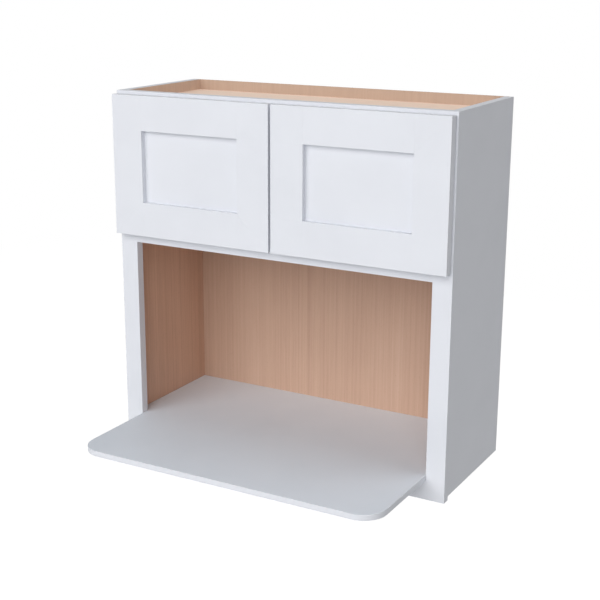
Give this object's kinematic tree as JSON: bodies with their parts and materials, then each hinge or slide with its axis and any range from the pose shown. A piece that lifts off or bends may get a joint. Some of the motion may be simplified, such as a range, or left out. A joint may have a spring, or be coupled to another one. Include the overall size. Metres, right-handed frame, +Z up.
{
  "type": "microwave wall cabinet",
  "caption": "Framed wall cabinet with recessed-panel doors on concealed hinges over an open microwave bay, whose round-cornered shelf reaches out in front.",
  "frame": {"origin": "on the wall plane, at the middle of the lower edge of the case's back", "axes": "+X to the right as seen from the front, +Y back into the wall, +Z up"},
  "size_m": [0.762, 0.515, 0.762],
  "materials": {
    "white_paint": "satin white paint on wood and fibreboard",
    "maple_veneer": "clear-coated maple veneer with fine upright grain on plywood",
    "plain_wood": "bare planed wood",
    "zinc_steel": "nickel-plated pressed steel",
    "clear_rubber": "soft clear bumper"
  },
  "bodies": {
    "case": {"side_panel_left": "white_paint", "side_panel_right": "white_paint", "frame_stile_left": "white_paint", "frame_stile_right": "white_paint", "frame_top_rail": "white_paint", "frame_middle_rail": "white_paint", "frame_bottom_rail": "white_paint", "frame_dowels": "plain_wood", "top_panel": "maple_veneer", "compartment_floor": "maple_veneer", "bottom_panel": "maple_veneer", "microwave_shelf": "white_paint", "shelf_screws": "zinc_steel", "back_panel": "maple_veneer", "back_nails": "zinc_steel", "upper_hanging_rail": "plain_wood", "lower_hanging_rail": "plain_wood", "rail_dowels": "plain_wood", "hinge_arms_left": "zinc_steel", "hinge_arms_right": "zinc_steel", "hinge_arm_screws_left": "zinc_steel", "hinge_arm_screws_right": "zinc_steel"},
    "door_left": {"door_outer_stile_left": "white_paint", "door_inner_stile_left": "white_paint", "door_top_rail_left": "white_paint", "door_bottom_rail_left": "white_paint", "door_panel_left": "white_paint", "hinge_cups_left": "zinc_steel", "hinge_pins_left": "zinc_steel", "hinge_cup_screws_left": "zinc_steel", "door_bumpers_left": "clear_rubber"},
    "door_right": {"door_outer_stile_right": "white_paint", "door_inner_stile_right": "white_paint", "door_top_rail_right": "white_paint", "door_bottom_rail_right": "white_paint", "door_panel_right": "white_paint", "hinge_cups_right": "zinc_steel", "hinge_pins_right": "zinc_steel", "hinge_cup_screws_right": "zinc_steel", "door_bumpers_right": "clear_rubber"}
  },
  "joints": [
    {"name": "door_left_hinge", "type": "hinge", "parent": "case", "child": "door_left", "pos_m": [-0.3699, -0.3, 0.6], "axis": [0, 0, -1], "range_deg": [0, 105]},
    {"name": "door_right_hinge", "type": "hinge", "parent": "case", "child": "door_right", "pos_m": [0.3699, -0.3, 0.6], "axis": [0, 0, 1], "range_deg": [0, 105]}
  ]
}
